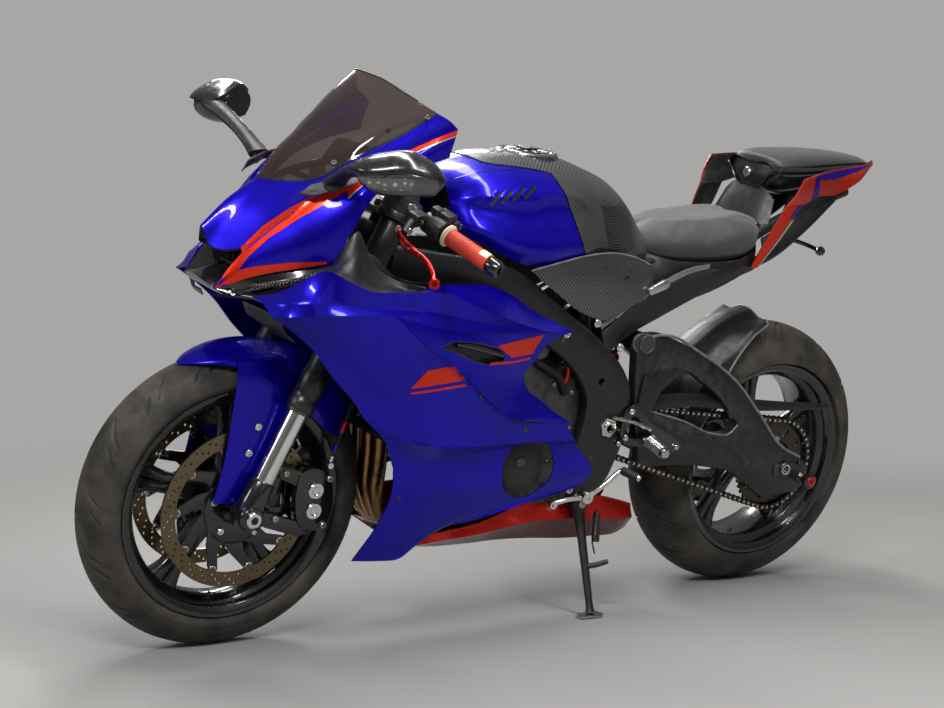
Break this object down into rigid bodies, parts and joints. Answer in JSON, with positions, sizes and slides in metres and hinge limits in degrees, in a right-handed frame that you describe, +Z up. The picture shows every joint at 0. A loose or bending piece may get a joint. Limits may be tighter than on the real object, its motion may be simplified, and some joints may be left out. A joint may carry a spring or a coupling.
{
  "type": "sport motorcycle",
  "caption": "Faired sport motorcycle parked on its side stand, with turning wheels, steering, folding stand and hinged fuel cap.",
  "frame": {"origin": "on the floor under the centre of the parked machine's box", "axes": "-Y ahead, +X to the machine's left, +Z up; the machine leans towards +X"},
  "size_m": [0.7346, 1.9899, 1.1335],
  "materials": {
    "blue_paint": "gloss",
    "orange_paint": "gloss",
    "black_frame": "satin",
    "black_plastic": "grained",
    "gloss_black": "gloss",
    "engine_black": "satin",
    "wheel_black": "satin",
    "tyre": "worn",
    "bronze_disc": "ground",
    "steel": "brushed",
    "chain_steel": "oiled",
    "aluminium": "satin",
    "header_steel": "heat tinted",
    "smoked_screen": "gloss",
    "lamp_glass": "gloss",
    "red_lens": "gloss",
    "carbon": "twill weave",
    "seat_vinyl": "grained",
    "red_rubber": "ribbed",
    "red_anodised": "anodised",
    "black_rubber": "matt"
  },
  "bodies": {
    "root": {"main_frame": "black_frame", "subframe": "black_frame", "engine_block": "engine_black", "engine_covers": "engine_black", "radiator": "black_frame", "exhaust": "header_steel", "pivot_shaft": "steel", "swingarm": "black_frame", "rear_shock": "red_lens", "rear_axle": "steel", "chain": "chain_steel", "rear_hugger": "black_plastic", "rear_caliper": "black_frame", "nose_cowl": "blue_paint", "windscreen": "smoked_screen", "headlamps": "lamp_glass", "instruments": "black_plastic", "left_fairing": "blue_paint", "right_fairing": "blue_paint", "belly_pan": "orange_paint", "mirrors": "gloss_black", "fuel_tank": "blue_paint", "tank_cover": "carbon", "side_covers": "carbon", "filler_ring": "gloss_black", "rider_seat": "seat_vinyl", "tail_fins": "orange_paint", "tail_cover": "black_plastic", "tail_lamp": "red_lens", "footrests": "black_plastic", "foot_levers": "aluminium"},
    "front_end": {"forks": "black_frame", "fork_clamps": "black_frame", "handlebars": "black_frame", "grips": "red_rubber", "bar_controls": "black_plastic", "hand_levers": "red_anodised", "front_fender": "blue_paint", "front_calipers": "black_frame", "front_axle": "steel", "brake_lines": "black_rubber"},
    "front_wheel": {"front_rim": "wheel_black", "front_tyre": "tyre", "front_discs": "bronze_disc"},
    "rear_wheel": {"rear_rim": "wheel_black", "rear_tyre": "tyre", "rear_disc": "steel", "rear_sprocket": "steel"},
    "side_stand": {"side_stand": "black_frame"},
    "fuel_cap": {"fuel_cap": "gloss_black"}
  },
  "joints": [
    {"name": "steering", "type": "hinge", "parent": "root", "child": "front_end", "pos_m": [-0.04155, -0.46661, 0.71906], "axis": [0.1743, 0.4067, 0.8968], "range_deg": [-27, 27]},
    {"name": "front_spin", "type": "hinge", "parent": "front_end", "child": "front_wheel", "pos_m": [-0.12376, -0.695, 0.29614], "axis": [0.9816, 0, -0.1908], "continuous": true},
    {"name": "rear_spin", "type": "hinge", "parent": "root", "child": "rear_wheel", "pos_m": [-0.1209, 0.68, 0.31087], "axis": [0.9816, 0, -0.1908], "continuous": true},
    {"name": "stand_fold", "type": "hinge", "parent": "root", "child": "side_stand", "pos_m": [-0.02107, 0.114, 0.23747], "axis": [0.9567, -0.1475, 0.251], "range_deg": [0, 84]},
    {"name": "cap_lift", "type": "hinge", "parent": "root", "child": "fuel_cap", "pos_m": [0.0121, -0.115, 0.99506], "axis": [0.9816, 0, -0.1908], "range_deg": [0, 95]}
  ]
}
